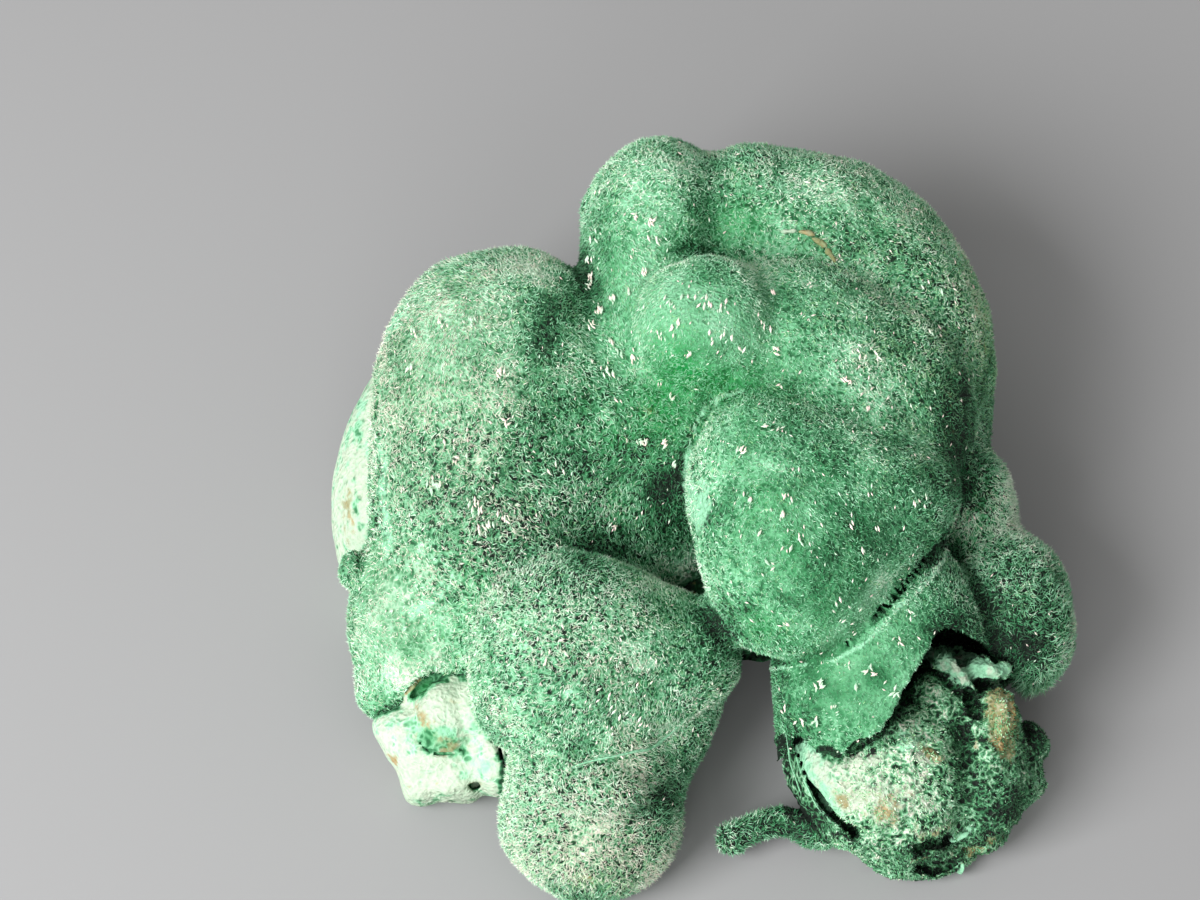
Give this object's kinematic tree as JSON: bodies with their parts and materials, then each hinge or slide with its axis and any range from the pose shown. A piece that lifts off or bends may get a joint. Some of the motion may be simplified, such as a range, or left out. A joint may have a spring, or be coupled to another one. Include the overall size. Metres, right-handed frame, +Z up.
{
  "type": "malachite specimen",
  "caption": "Botryoidal mineral specimen with velvety green lobes, two lower lobes with a gap between them, a bared rough core and a flat broken base to rest on.",
  "frame": {"origin": "on the ground under the middle of the stone's bounding box", "axes": "+Z up from the flat base, the shortest side of the stone; +X to the viewer's right; the growth face looks up and towards -Y"},
  "size_m": [0.0754, 0.0768, 0.0347],
  "materials": {
    "malachite": "velvety matte"
  },
  "bodies": {
    "root": {"malachite_specimen": "malachite"}
  },
  "joints": []
}
